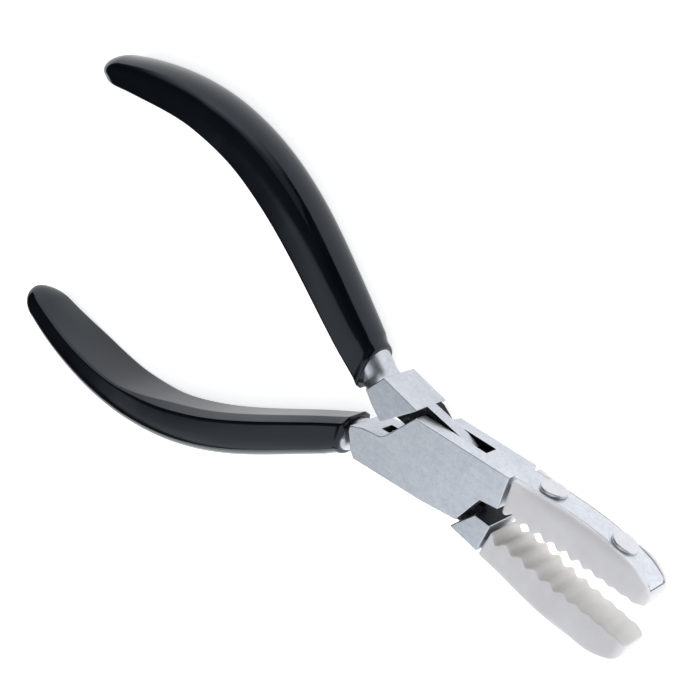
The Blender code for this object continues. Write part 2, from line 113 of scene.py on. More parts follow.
# The middle line of a handle, as a Bezier curve.
HANDLE_CURVE = ((-19.05, 4.45), (-47.65, 18.35), (-63.7, 34.6), (-105.6, 14.1))
# Share of the middle line, inner width, outer width, half depth.
GRIP_SECTIONS = ((0.0, 3.5, 3.7, 4.2), (0.05, 3.59, 3.86, 4.5), (0.1, 3.69, 4.02, 4.82),
                 (0.2, 3.84, 4.28, 5.12), (0.35, 4.02, 4.65, 5.36), (0.5, 4.02, 4.78, 5.46),
                 (0.6, 3.47, 4.76, 5.56), (0.7, 2.75, 4.74, 5.78), (0.8, 2.55, 4.56, 5.85),
                 (0.9, 2.3, 4.1, 5.5), (1.0, 1.8, 3.2, 4.4))
DOME_POWER = 2.15
EDGE_ROUND = 0.8
EDGE_CUT = (1.0, 0.3)
FLAT_SHARE = (0.55, 0.9)
EDGE_FADE = (0.5, 0.7)
UPPER_GRIP_END = 0.914
LOWER_GRIP_END = 0.945
TIP_ROUND = 2.1
TIP_SOFT = 0.55
TIP_SOFT_X = (0.82, 0.97)
# X at which a grip's mouth crosses the middle line, and the mouth's slant.
UPPER_MOUTH = (-20.4, 0.09)
LOWER_MOUTH = (-19.7, 0.0)
# X, y, half width, half depth.
NECK_SECTIONS = ((-14.8, 4.6, 2.2, 3.9), (-17.35, 3.8, 2.85, 4.15))

BOX_HEAD = ((14.4, -0.1), (14.6, 6.25), (-5.8, 6.83), (-9.0, 2.8), (-10.6, 0.8), (-11.7, 0.0), (-13.5, -0.1),
            (-15.5, -0.35), (-18.1, -1.2), (-18.2, -2.2), (-16.6, -5.6), (-15.6, -6.75), (-0.5, -6.7),
            (7.5, -6.2), (10.65, -0.45))
BACK_WALL_CUT = ((-2.1, 9.0), (-12.5, 9.0), (-12.5, 0.15), (-8.2, 0.15), (-3.4, 5.7), (-2.1, 6.6))
SHOULDER_BLOCK = ((-7.35, 6.9), (-16.0, 7.45), (-18.1, 3.1), (-15.6, 1.5), (-12.8, 0.1), (-10.05, 3.4))
JAW_SHOULDER = ((8.2, -6.3), (14.8, -6.45), (14.6, -0.72), (11.2, -1.08))

# --- Fineness and small details that only the visual model has ----------------------------------------------

# Steel
EDGE = 0.2                   # softening of the ground edges
CORNER_ROUND = 0.28          # rounding of the upright corners
BEVEL_STEPS = 3
STRAIGHT = 165.0             # degrees: a corner flatter than this stays as it is
CORNER_SHARE = 0.4           # a rounded corner uses at most this share of its shorter side
MITRE_LIMIT = 0.3            # keeps an inset corner from running away where it is sharp
FILLET = 1.05                # where a neck grows out of the head
FILLET_RUN = 2.2
FILLET_DEPTH_SHARE = 0.2     # of the fillet's width, by which it is also deeper
NECK_POWER = 2.0
NECK_STEPS = 18
DEEPEST_NECK = 4.35
CORE_SHARES = (0.01, 0.03, 0.05, 0.07)     # of the middle line, for the part of the core inside the grip
STRAP_STATIONS = 70
STRAP_EDGE = 0.28
STRAP_NOSE = 0.35            # rounding of the strap's end
STRAP_RISE = 0.6             # the strap thickens towards its end, where the nylon stands proud of it
BOX_HOLE_GAP = 0.004         # round the pin, where its ring shows
TONGUE_HOLE_GAP = 0.1
PIN_CHAMFER = 0.01
OUTER_FACES_Y = 6.2          # the tongue's faces beyond this are ground with the head, the rest get painted shade
FLAT_NORMAL_Z = 0.9          # faces that lie in the slot, which get painted shade
FRONT_NORMAL_Y = 0.7         # the faces of the jaw shoulder that look into the box, which get painted shade
WEDGE_OVERLAP = 0.2          # how far the root wedge runs into the tongue
WELD = 0.002                 # points nearer than this are one
FACE_WEIGHT = 80             # how far large faces rule the shading of the corners

# Grips
DOME_STEPS = 18
EDGE_STEPS = 6
FLAT_STEPS = 4
EDGE_LIMIT = 0.45            # a rounded edge uses at most this share of either side
GRIP_STATIONS = 150
GRIP_START = 0.07            # share of the middle line at which the sections take over from the mouth
MOUTH_DEPTHS = (3.0, 1.2)    # how far the sleeve's inner face runs back from its rolled edge
LIP = 0.62                   # thickness of the rolled edge of a dipped grip
LIP_BEAD = 0.07              # the edge stands this far proud of the grip
LIP_STEPS = 8
BEAD_FADE = ((1.0, 0.9), (0.4, 1.6), (0.0, 2.4))    # shares of the bead, and how far back, in lips
TIP_STEPS = 15
TIP_LEAD = 1.0               # degrees by which each ring of the tip runs ahead

# Nylon
RING_STEP = 0.12             # along the nylon
NYLON_EDGE = 0.32
NYLON_EDGE_STEPS = 4
NYLON_CORNER_STEPS = 8
NYLON_ROOT_ROUND = 0.3
CHANNEL_GAP_ROOT = 0.05
CHANNEL_GAP_TIP = 0.09
CHANNEL_WIDENS_X = (20.0, 36.0)
RIVET_HOLE_GAP = 0.05
RIVET_HOLE_PAST = 0.1        # the hole runs this far past the rivet
RIVET_HOLE_TOP = 3.0
RIVET_HOLE_SIDES = 32

# Rivets. The foot is given in from the rim and up from the strap, the crown in from the rim and down from the
# top.
RIVET_NECK = (1.45, -0.02)
RIVET_FOOT = ((0.14, 0.01), (0.04, 0.06), (0.0, 0.16))
RIVET_RIM = 0.3
RIVET_RIM_DROP = 0.36
RIVET_RIM_STEPS = 5
RIVET_SIDE_DROP = 0.34
RIVET_CROWN = ((0.5, 0.055), (0.8, 0.035), (1.3, 0.012), (1.8, 0.003))
RIVET_MIDDLE = 0.3

ROUND_SIDES = 96
ARC_STEP = 3.0               # degrees

# Where two faces meet at more than this angle, in degrees, the edge between them is sharp.
STEEL_SHARP = 32.0
PIN_SHARP = 30.0
RIVET_SHARP = 50.0
NYLON_SHARP = 38.0
GRIP_SHARP = 60.0

# Colours, as dark and light, and roughness, as low and high
BOX_STEEL = ((0.51, 0.53, 0.575), (0.665, 0.685, 0.725))
TONGUE_STEEL = ((0.46, 0.48, 0.525), (0.60, 0.62, 0.66))
GROUND_ROUGH = (0.30, 0.42)
RIVET_STEEL = ((0.55, 0.56, 0.585), (0.66, 0.67, 0.69))
RIVET_ROUGH = (0.26, 0.38)
RIVET_TURN = 0.6
# Painted shade: the near-black steel for the faces in the slot, the pin holes and the joint, where shade
# falls.
PAINTED_JOINT_SHADE = ((0.018, 0.019, 0.022), (0.10, 0.105, 0.115))
JOINT_ROUGH = (0.42, 0.6)
NYLON_PLAIN = ((0.83, 0.80, 0.815), (0.89, 0.86, 0.87))
NYLON_WARM = ((0.67, 0.655, 0.63), (0.74, 0.73, 0.71))
NYLON_ROUGH = (0.38, 0.52)
VINYL = ((0.0016, 0.0026, 0.0046), (0.0030, 0.0044, 0.0070))
VINYL_ROUGH = (0.09, 0.15)
VINYL_SHEEN = (0.78, 0.88, 1.0, 1.0)


# --- Node helpers -------------------------------------------------------------------------------------------

class Nodes:
    """A small wrapper that adds nodes to a material and links them."""

    def __init__(self, name):
        self.material = bpy.data.materials.new(name)
        self.material.use_nodes = True
        self.tree = self.material.node_tree
        self.shader = self.tree.nodes["Principled BSDF"]

    def add(self, kind, inputs=None, **settings):
        node = self.tree.nodes.new(kind)
        for key, value in settings.items():
            setattr(node, key, value)
        for key, value in (inputs or {}).items():
            self.put(node.inputs[key], value)
        return node

    def put(self, socket, value):
        if isinstance(value, bpy.types.NodeSocket):
            self.tree.links.new(value, socket)
        else:
            socket.default_value = value

    def set(self, **values):
        for key, value in values.items():
            self.put(self.shader.inputs[key.replace("_", " ")], value)

    def place(self):
        """The point on the surface, in the object's own coordinates."""
        return self.add("ShaderNodeTexCoord").outputs["Object"]

    def stretch(self, vector, scale, turn):
        node = self.add("ShaderNodeMapping", {"Vector": vector, "Scale": scale, "Rotation": (0.0, 0.0, turn)})
        return node.outputs["Vector"]

    def noise(self, vector, scale, detail, roughness, distortion=0.0):
        node = self.add("ShaderNodeTexNoise", {"Vector": vector, "Scale": scale, "Detail": detail,
                                               "Roughness": roughness, "Distortion": distortion})
        return node.outputs["Fac"]

    def spread(self, value, low, high, to_low, to_high):
        node = self.add("ShaderNodeMapRange", {"Value": value, "From Min": low, "From Max": high,
                                               "To Min": to_low, "To Max": to_high})
        return node.outputs["Result"]

    def maths(self, operation, a, b):
        node = self.add("ShaderNodeMath", operation=operation)
        self.put(node.inputs[0], a)
        self.put(node.inputs[1], b)
        return node.outputs[0]

    def weighted(self, *parts):
        """The sum of some values, each with its weight."""
        total = self.maths("MULTIPLY", *parts[0])
        for part in parts[1:]:
            total = self.maths("ADD", total, self.maths("MULTIPLY", *part))
        return total

    def mix(self, factor, a, b):
        """Blends two colours. The node's colour sockets are inputs 6 and 7 and output 2."""
        node = self.add("ShaderNodeMix", data_type="RGBA")
        self.put(node.inputs["Factor"], factor)
        for socket, value in ((node.inputs[6], a), (node.inputs[7], b)):
            self.put(socket, value if isinstance(value, bpy.types.NodeSocket) else (*value, 1.0))
        return node.outputs[2]

    def bump(self, height, strength, distance, normal=None):
        node = self.add("ShaderNodeBump", {"Height": height, "Strength": strength, "Distance": distance})
        if normal:
            self.put(node.inputs["Normal"], normal)
        return node.outputs["Normal"]


# --- Materials ----------------------------------------------------------------------------------------------

def steel_material(name, colours, roughness, turn):
    """Satin stainless steel, mottled by fine grinding.

    Faint polishing lines run at the given turn, with a few scratches across them.
    """
    m = Nodes(name)
    place = m.place()
    lines = m.noise(m.stretch(place, (60.0, 4200.0, 4200.0), turn), scale=1.0, detail=3.0, roughness=0.6)
    clouds = m.noise(place, scale=260.0, detail=5.0, roughness=0.65)
    mottle = m.noise(place, scale=1500.0, detail=4.0, roughness=0.7)
    grain = m.noise(place, scale=5200.0, detail=2.0, roughness=0.5)
    scratches = m.noise(m.stretch(place, (90.0, 1500.0, 1500.0), turn + 0.5), scale=1.0, detail=2.0,
                        roughness=0.4, distortion=0.6)
    tone = m.weighted((clouds, 0.4), (mottle, 0.45), (lines, 0.15))
    m.set(Base_Color=m.mix(m.spread(tone, 0.38, 0.62, 0.0, 1.0), *colours))
    rough = m.weighted((clouds, 0.5), (scratches, 0.5))
    m.set(Metallic=1.0, Roughness=m.spread(rough, 0.3, 0.7, *roughness))
    height = m.weighted((lines, 0.35), (grain, 0.25), (mottle, 0.4))
    m.set(Normal=m.bump(height, strength=0.14, distance=0.00005))
    return m.material


def painted_shade_steel_material(name):
    """Painted shade: steel inside the joint, coloured near black for the shade deep in the slot, with random
    lighter patches.
    """
    m = Nodes(name)
    place = m.place()
    clouds = m.noise(place, scale=420.0, detail=5.0, roughness=0.7, distortion=0.5)
    grain = m.noise(place, scale=3800.0, detail=3.0, roughness=0.6)
    lighter_patches = m.spread(clouds, 0.55, 0.72, 0.0, 1.0)
    m.set(Base_Color=m.mix(lighter_patches, *PAINTED_JOINT_SHADE))
    m.set(Metallic=1.0, Roughness=m.spread(grain, 0.3, 0.7, *JOINT_ROUGH))
    m.set(Normal=m.bump(grain, strength=0.4, distance=0.00006))
    return m.material


def nylon_material(name, grip_direction):
    """Milky nylon: light scatters in it, the gripping face is warmer, and the skin is faintly scuffed."""
    m = Nodes(name)
    place = m.place()
    clouds = m.noise(place, scale=190.0, detail=4.0, roughness=0.6)
    grain = m.noise(place, scale=2600.0, detail=3.0, roughness=0.6)
    scuffs = m.noise(m.stretch(place, (260.0, 1700.0, 900.0), 0.35), scale=1.0, detail=3.0, roughness=0.6,
                     distortion=0.8)
    normal = m.add("ShaderNodeTexCoord").outputs["Normal"]
    facing = m.add("ShaderNodeVectorMath", operation="DOT_PRODUCT")
    m.put(facing.inputs[0], normal)
    facing.inputs[1].default_value = grip_direction
    grooved = m.spread(facing.outputs["Value"], 0.25, 0.8, 0.0, 1.0)
    patches = m.spread(clouds, 0.35, 0.65, 0.0, 1.0)
    m.set(Base_Color=m.mix(grooved, m.mix(patches, *NYLON_PLAIN), m.mix(patches, *NYLON_WARM)))
    m.set(Roughness=m.spread(scuffs, 0.3, 0.7, *NYLON_ROUGH), IOR=1.53)
    m.set(Subsurface_Weight=0.5, Subsurface_Radius=(1.0, 0.95, 0.85), Subsurface_Scale=0.0012)
    height = m.weighted((grain, 0.4), (scuffs, 0.6))
    m.set(Normal=m.bump(height, strength=0.22, distance=0.00006))
    return m.material


def vinyl_material(name):
    """Glossy black vinyl, dipped: a slightly uneven skin, fine dust pits and duller patches from handling."""
    m = Nodes(name)
    place = m.place()
    waves = m.noise(place, scale=85.0, detail=2.0, roughness=0.4)
    fine = m.noise(place, scale=900.0, detail=3.0, roughness=0.6)
    patches = m.noise(place, scale=140.0, detail=4.0, roughness=0.65, distortion=0.4)
    m.set(Base_Color=m.mix(m.spread(patches, 0.35, 0.65, 0.0, 1.0), *VINYL))
    m.set(Roughness=m.spread(patches, 0.3, 0.7, *VINYL_ROUGH), IOR=1.44, Specular_Tint=VINYL_SHEEN)
    pits = m.bump(fine, strength=0.08, distance=0.00004)
    m.set(Normal=m.bump(waves, strength=0.15, distance=0.0005, normal=pits))
    return m.material


# --- Mesh helpers -------------------------------------------------------------------------------------------

class Half:
    """One half of the pliers: where it stands, and the CAD body that its pieces ride on."""

    def __init__(self, body, turn):
        lift = Matrix.Translation((0.0, 0.0, THICKNESS / 2 * MM))
        self.body = body
        self.matrix = lift @ Matrix.Rotation(math.radians(turn), 4, "Z")

    def place(self, point):
        return self.matrix @ (Vector(point) * MM)


def solid(name, vertices, faces, half, material=None):
    mesh = bpy.data.meshes.new(name)
    mesh.from_pydata([half.place(v) for v in vertices], [], faces)
    shell = bmesh.new()
    shell.from_mesh(mesh)
    bmesh.ops.recalc_face_normals(shell, faces=shell.faces)
    shell.to_mesh(mesh)
    shell.free()
    if material:
        mesh.materials.append(material)
    piece = bpy.data.objects.new(name, mesh)
    bpy.context.scene.collection.objects.link(piece)
    return piece


def loft(name, rings, half, material=None):
    """Rings with the same number of points, joined in order, with a flat cap on the first and the last."""
    count = len(rings[0])
    vertices = [point for ring in rings for point in ring]
    faces = []
    for row in range(len(rings) - 1):
        for i in range(count):
            j = (i + 1) % count
            faces.append((row * count + i, row * count + j, (row + 1) * count + j, (row + 1) * count + i))
    faces.append(tuple(range(count)))
    last = (len(rings) - 1) * count
    faces.append(tuple(range(last, last + count)))
    return solid(name, vertices, faces, half, material)


def corner_curve(first, corner, last, steps):
    """Points on the curve that leaves one side of a corner and meets the other."""
    points = []
    for k in range(steps + 1):
        t = k / steps
        points.append(tuple(first * (1.0 - t) ** 2 + corner * 2.0 * t * (1.0 - t) + last * t * t))
    return points


def rounded(outline, radius):
    """An outline whose sharp corners are cut back into short curves."""
    points = []
    for i, corner in enumerate(outline):
        here = Vector(corner)
        back = Vector(outline[i - 1]) - here
        ahead = Vector(outline[(i + 1) % len(outline)]) - here
        angle = back.angle(ahead)
        if angle > math.radians(STRAIGHT):
            points.append(tuple(here))
            continue
        cut_back = min(radius / math.tan(angle / 2.0), CORNER_SHARE * min(back.length, ahead.length))
        first = here + back.normalized() * cut_back
        last = here + ahead.normalized() * cut_back
        points += corner_curve(first, here, last, BEVEL_STEPS)
    return points


def inset(outline, distance):
    """An anticlockwise outline drawn in by a distance."""
    points = []
    for i, corner in enumerate(outline):
        here = Vector(corner)
        before = (here - Vector(outline[i - 1])).normalized()
        after = (Vector(outline[(i + 1) % len(outline)]) - here).normalized()
        middle = Vector((-before.y - after.y, before.x + after.x)).normalized()
        stretch = max(MITRE_LIMIT, middle.dot(Vector((-before.y, before.x))))
        points.append(tuple(here + middle * (distance / stretch)))
    return points


def anticlockwise(outline):
    area = sum(a[0] * b[1] - b[0] * a[1] for a, b in zip(outline, list(outline[1:]) + [outline[0]]))
    return list(outline) if area > 0.0 else list(reversed(outline))


def prism(name, outline, low, high, half, material=None, edge=0.0, corner=0.0):
    """An upright block over an outline, with softened corners and softened top and bottom edges."""
    shape = anticlockwise(outline)
    if corner:
        shape = rounded(shape, corner)
    if not edge:
        return loft(name, [[(x, y, z) for x, y in shape] for z in (low, high)], half, material)
    turns = quarter(BEVEL_STEPS)
    levels = [(edge * (1.0 - math.sin(a)), low + edge * (1.0 - math.cos(a))) for a in turns]
    levels += [(edge * (1.0 - math.sin(a)), high - edge * (1.0 - math.cos(a))) for a in reversed(turns)]
    return loft(name, [[(x, y, z) for x, y in inset(shape, d)] for d, z in levels], half, material)


def cut(body, tool, operation="DIFFERENCE"):
    """Applies one exact Boolean at once and removes the tool."""
    modifier = body.modifiers.new(tool.name, "BOOLEAN")
    modifier.operation = operation
    modifier.solver = "EXACT"
    modifier.object = tool
    modifier.material_mode = "TRANSFER"
    bpy.context.view_layer.update()
    result = bpy.data.meshes.new_from_object(body.evaluated_get(bpy.context.evaluated_depsgraph_get()))
    body.modifiers.clear()
    body.data = result
    bpy.data.objects.remove(tool, do_unlink=True)


def finish_steel(body):
    """Cleans the Boolean's seams and shades it so that the flats stay flat and the soft edges round."""
    shell = bmesh.new()
    shell.from_mesh(body.data)
    bmesh.ops.remove_doubles(shell, verts=shell.verts, dist=WELD * MM)
    shell.to_mesh(body.data)
    shell.free()
    shade(body, STEEL_SHARP)
    weighted = body.modifiers.new("weighted", "WEIGHTED_NORMAL")
    weighted.keep_sharp = True
    weighted.weight = FACE_WEIGHT


def shade(body, angle):
    body.data.shade_smooth()
    body.data.set_sharp_from_angle(angle=math.radians(angle))


def arc(radius, start, end):
    """Points on a circle round the pin, from one angle to another, in degrees."""
    steps = max(1, round(abs(end - start) / ARC_STEP))
    angles = [math.radians(start + (end - start) * i / steps) for i in range(steps + 1)]
    return [(radius * math.cos(a), radius * math.sin(a)) for a in angles]


def quarter(steps):
    """The angles of a quarter turn, in radians."""
    return [math.radians(90.0 * k / steps) for k in range(steps + 1)]


def turned(name, profile, centre, direction, half, material=None, sides=ROUND_SIDES):
    """A turned shape: radius and height along an axis through a centre."""
    axis = Vector(direction).normalized()
    side = axis.orthogonal().normalized()
    other = axis.cross(side)
    rings = []
    for radius, height in profile:
        middle = Vector(centre) + axis * height
        rings.append([tuple(middle + (side * math.cos(a) + other * math.sin(a)) * radius)
                      for a in (2.0 * math.pi * i / sides for i in range(sides))])
    return loft(name, rings, half, material)


def smooth(x, start, end):
    """A soft step from 0 at the start to 1 at the end."""
    t = min(1.0, max(0.0, (x - start) / (end - start)))
    return t * t * (3.0 - 2.0 * t)


# --- Handles ------------------------------------------------------------------------------------------------

def handle_point(share):
    """The point on the middle line at a share of it, and the direction along the line there."""
    a, b, c, d = (Vector(p) for p in HANDLE_CURVE)
    u = 1.0 - share
    point = a * u ** 3 + b * 3.0 * u * u * share + c * 3.0 * u * share * share + d * share ** 3
    along = (b - a) * u * u + (c - b) * 2.0 * u * share + (d - c) * share * share
    return point, along.normalized()


def grip_section(share):
    """Inner width, outer width and half depth, on a smooth curve through the CAD's sections."""
    for k, (before, after) in enumerate(zip(GRIP_SECTIONS, GRIP_SECTIONS[1:])):
        if share > after[0]:
            continue
        first = GRIP_SECTIONS[max(0, k - 1)]
        last = GRIP_SECTIONS[min(len(GRIP_SECTIONS) - 1, k + 2)]
        width = after[0] - before[0]
        t = (share - before[0]) / width
        sizes = []
        for f, a, b, e in zip(first[1:], before[1:], after[1:], last[1:]):
            start = (b - f) / (after[0] - first[0]) * width
            end = (e - a) / (last[0] - before[0]) * width
            sizes.append((2 * t ** 3 - 3 * t ** 2 + 1) * a + (t ** 3 - 2 * t ** 2 + t) * start
                         + (3 * t ** 2 - 2 * t ** 3) * b + (t ** 3 - t ** 2) * end)
        return sizes
    return list(GRIP_SECTIONS[-1][1:])


def rounded_edge(before, corner, after):
    """One edge of the grip's flat side, cut back into a curve."""
    before, corner, after = Vector(before), Vector(corner), Vector(after)
    angle = (before - corner).angle(after - corner)
    cut_back = min(EDGE_ROUND / math.tan(angle / 2.0), EDGE_LIMIT * (before - corner).length,
                   EDGE_LIMIT * (after - corner).length)
    first = corner + (before - corner).normalized() * cut_back
    last = corner + (after - corner).normalized() * cut_back
    return corner_curve(first, corner, last, EDGE_STEPS)


def grip_outline(share, drawn_in, roundness=0.0):
    """The grip's section as (outward, depth) points: domed outside, flat with cut-back edges inside.

    Towards the tip, and by the given roundness, it turns into an oval.
    """
    inner, outer, depth = (size - drawn_in for size in grip_section(share))
    fade = smooth(share, *EDGE_FADE)
    edge = EDGE_CUT[0] + (EDGE_CUT[1] - EDGE_CUT[0]) * fade
    flat = depth * (FLAT_SHARE[0] + (FLAT_SHARE[1] - FLAT_SHARE[0]) * fade)
    front = []
    for k in range(DOME_STEPS + 1):
        a = math.radians(90.0 * k / DOME_STEPS)
        power = 2.0 / DOME_POWER
        front.append((outer * max(0.0, math.cos(a)) ** power, depth * math.sin(a) ** power))
    front += rounded_edge((0.0, depth), (edge - inner, depth), (-inner, flat))
    front += rounded_edge((edge - inner, depth), (-inner, flat), (-inner, 0.0))
    last = front[-1][1]
    front += [(-inner, last * (1.0 - k / FLAT_STEPS)) for k in range(1, FLAT_STEPS + 1)]
    soft = TIP_SOFT * smooth(share, *TIP_SOFT_X)
    soft += (1.0 - soft) * roundness
    middle = (outer - inner) / 2.0
    half = (outer + inner) / 2.0
    for k, (w, d) in enumerate(front):
        a = math.atan2(d / depth, (w - middle) / half)
        oval_w, oval_d = middle + half * math.cos(a), depth * math.sin(a)
        front[k] = (w + (oval_w - w) * soft, d + (oval_d - d) * soft)
    return front + [(w, -d) for w, d in reversed(front[1:-1])]


def ring_across(point, along, outline, side):
    """An outline set across the handle at a point. Side is 1 for the upper handle and -1 for the lower."""
    outward = Vector((along.y, -along.x))
    ring = []
    for width, depth in outline:
        flat = point + outward * width
        ring.append((flat.x, flat.y * side, depth))
    return ring


def oval(half_width, half_depth, power=2.0):
    """An ellipse, or a squarer oval, with its points in the same directions as the grip's outline."""
    inner, outer, depth = grip_section(0.0)
    points = []
    for w, d in grip_outline(0.0, 0.0):
        a = math.atan2(d / depth, w * 2.0 / (inner + outer))
        size = (abs(math.cos(a)) ** power + abs(math.sin(a)) ** power) ** (-1.0 / power)
        points.append((half_width * size * math.cos(a), half_depth * size * math.sin(a)))
    return points


def neck_outline(share):
    """The round bar inside the grip, where the grip's edge lies on it."""
    inner, outer, depth = (size - LIP for size in grip_section(share))
    return [(w + (outer - inner) / 2.0, d) for w, d in oval((inner + outer) / 2.0, depth, NECK_POWER)]


def blend(first, second, share):
    """An outline between two others, point by point."""
    return [(w + (u - w) * share, d + (v - d) * share) for (w, d), (u, v) in zip(first, second)]


def mouth_ring(mouth, drawn_in, back, side):
    """The first section, slid along the handle to a plane that lies back from the grip's mouth."""
    centre, along = handle_point(0.0)
    mouth_x, slant = mouth
    outline = grip_outline(0.0, min(0.0, drawn_in))
    if drawn_in > 0.0:
        outline = blend(outline, neck_outline(0.0), drawn_in / LIP)
    ring = []
    for x, y, z in ring_across(centre, along, outline, side):
        height = y * side
        slide = (mouth_x - back - slant * (height - centre.y) - x) / (along.x + slant * along.y)
        ring.append((x + along.x * slide, (height + along.y * slide) * side, z))
    return ring


def grip(name, side, end, mouth, half, material):
    """A dipped sleeve with a rolled edge that lies on the neck, and a round closed tip."""
    rings = [mouth_ring(mouth, LIP, back, side) for back in MOUTH_DEPTHS]
    middle = LIP / 2.0
    for i in range(LIP_STEPS + 1):
        a = math.pi * (i / LIP_STEPS - 0.5)
        drawn_in = middle - (middle + LIP_BEAD) * math.sin(a)
        rings.append(mouth_ring(mouth, drawn_in, middle * (1.0 - math.cos(a)), side))
    for share, lips in BEAD_FADE:
        rings.append(mouth_ring(mouth, -LIP_BEAD * share, LIP * lips, side))
    for i in range(GRIP_STATIONS + 1):
        share = GRIP_START + (end - GRIP_START) * i / GRIP_STATIONS
        rings.append(ring_across(*handle_point(share), grip_outline(share, 0.0), side))
    tip, along = handle_point(end)
    inner, outer, _ = grip_section(end)
    length = TIP_ROUND * (inner + outer) / 2.0
    for k in range(1, TIP_STEPS):
        angle = math.radians(90.0 * k / TIP_STEPS + TIP_LEAD)
        shrink = math.cos(angle)
        outline = [(w * shrink, d * shrink) for w, d in grip_outline(end, 0.0, math.sin(angle))]
        rings.append(ring_across(tip + along * length * math.sin(angle), along, outline, side))
    sleeve = loft(name, rings, half, material)
    shade(sleeve, GRIP_SHARP)
    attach(sleeve, half.body)
    return sleeve


def neck(side, half, material):
    """The neck, with a fillet where it leaves the head, and the first part of the core inside the grip."""
    (x0, y0, w0, d0), (x1, y1, w1, d1) = NECK_SECTIONS
    face = Vector((x1, y1))
    inside, along = handle_point(0.0)
    rings = [ring_across(Vector((x0, y0)), along, oval(w0, d0), side)]
    for i in range(NECK_STEPS + 1):
        t = i / NECK_STEPS
        point = face.lerp(inside, t)
        near = 1.0 - min(1.0, (point - face).length / FILLET_RUN)
        flare = FILLET * (1.0 - math.sqrt(1.0 - near * near))
        depth = min(d1 + flare * FILLET_DEPTH_SHARE, DEEPEST_NECK)
        foot = [(w + flare * max(0.0, w / w1), d) for w, d in oval(w1, depth, NECK_POWER)]
        rings.append(ring_across(point, along, blend(foot, neck_outline(0.0), t), side))
    for share in CORE_SHARES:
        rings.append(ring_across(*handle_point(share), neck_outline(share), side))
    return loft("neck", rings, half, material)


# --- Jaws ---------------------------------------------------------------------------------------------------

class Jaw:
    """The long profile of one jaw, with heights measured from the centre line towards its outer side."""

    def __init__(self, side, outer_root, flare, drop, power, proud, round_height, round_inset, crest_root,
                 crest_slope, first_crest, pitch, tightening, first_groove, tip_x):
        self.side = side
        self.outer_root = outer_root
        self.flare = flare
        self.drop = drop
        self.power = power
        self.proud = proud
        self.round_height = round_height
        self.round_inset = round_inset
        self.crest_root = crest_root
        self.crest_slope = crest_slope
        self.first_crest = first_crest
        self.pitch = pitch
        self.tightening = tightening
        self.first_groove = first_groove
        self.tip_x = tip_x

    def outer(self, x):
        run = max(0.0, x - HEAD_END_X)
        return self.outer_root + self.flare * run - self.drop * (run / JAW_REACH) ** self.power

    def nylon_outer(self, x):
        sink = smooth(x, SINK_START_X, SINK_END_X)
        return self.outer(x) + self.proud + (SINK_DEPTH - self.proud) * sink

    def corner(self, x):
        share = smooth(x, JAW_ROOT_X, JAW_ROOT_X + CORNER_RUN) * (1.0 - smooth(x, SINK_START_X, SINK_END_X))
        height = SHARP_CORNER + (self.round_height - SHARP_CORNER) * share
        return height, SHARP_CORNER + (self.round_inset - SHARP_CORNER) * share

    def normal(self, x):
        slope = (self.outer(x + SLOPE_STEP) - self.outer(x - SLOPE_STEP)) / (2.0 * SLOPE_STEP)
        return Vector((-slope, self.side, 0.0)).normalized()

    def gripping(self, x):
        crest = self.crest_root + self.crest_slope * (x - JAW_ROOT_X)
        root = math.sqrt(self.pitch ** 2 - 4.0 * self.tightening * (x - self.first_crest))
        turn = (self.pitch - root) / (2.0 * self.tightening)
        depth = self.first_groove if turn < 0.0 else GROOVE_ROOT
        depth += (GROOVE_TIP - GROOVE_ROOT) * smooth(x, *GROOVE_FADE_X)
        return crest + depth * (0.5 - 0.5 * math.cos(2.0 * math.pi * turn))

    def strap_half_width(self, x):
        s = (x - HEAD_END_X) / (STRAP_TIP_X - HEAD_END_X)
        return 0.5 * (STRAP_WIDTH_ROOT + (STRAP_WIDTH_TIP - STRAP_WIDTH_ROOT) * max(0.0, s))

    def nylon_half_width(self, x):
        s = (x - JAW_ROOT_X) / (self.tip_x - JAW_ROOT_X)
        return 0.5 * (THICKNESS + (JAW_TIP_WIDTH - THICKNESS) * s)


UPPER_JAW = Jaw(1, outer_root=6.15, flare=-0.035, drop=4.8, power=4.4, proud=-0.05, round_height=2.6,
                round_inset=1.1, crest_root=-0.35, crest_slope=-0.075, first_crest=15.8, pitch=2.93,
                tightening=0.035, first_groove=0.9, tip_x=43.9)
LOWER_JAW = Jaw(-1, outer_root=6.4, flare=0.11, drop=4.9, power=3.7, proud=0.25, round_height=1.2,
                round_inset=0.8, crest_root=1.52, crest_slope=-0.022, first_crest=18.65, pitch=3.3,
                tightening=0.045, first_groove=1.4, tip_x=44.6)


def strap_outline(half_width, low, high, round_off):
    """A rectangle across the strap, in width and height, with rounded corners."""
    box = [(half_width, low), (half_width, high), (-half_width, high), (-half_width, low)]
    return rounded(box, round_off) if round_off else box


def strap_loft(name, jaw, start, end, half, gap, out, round_off, material=None, nose=0.0):
    """A bar swept along the strap's curve. gap(x) widens it, and out raises its outer face."""
    rings = []
    for i in range(STRAP_STATIONS + 1):
        x = start + (end - start) * i / STRAP_STATIONS
        outward = jaw.normal(x)
        base = Vector((x, jaw.outer(x) * jaw.side, 0.0))
        drawn = 0.0
        if nose and x > end - nose:
            drawn = nose * (1.0 - math.sqrt(max(0.0, 1.0 - ((x - end + nose) / nose) ** 2)))
        width = jaw.strap_half_width(x) + gap(x) - drawn
        ring = []
        top = out - drawn + (STRAP_RISE * smooth(x, SINK_START_X, SINK_END_X) if nose else 0.0)
        for z, h in strap_outline(width, -STRAP_THICKNESS - gap(x) + drawn, top, round_off):
            p = base + outward * h
            ring.append((p.x, p.y, z))
        rings.append(ring)
    return loft(name, rings, half, material)


def no_gap(x):
    return 0.0


def channel_gap(x):
    return CHANNEL_GAP_ROOT + (CHANNEL_GAP_TIP - CHANNEL_GAP_ROOT) * smooth(x, *CHANNEL_WIDENS_X)


def add_strap(body, jaw, half, material):
    cut(body, strap_loft("strap", jaw, STRAP_ROOT_X, STRAP_TIP_X, half, no_gap, 0.0, STRAP_EDGE, material,
                         STRAP_NOSE), "UNION")


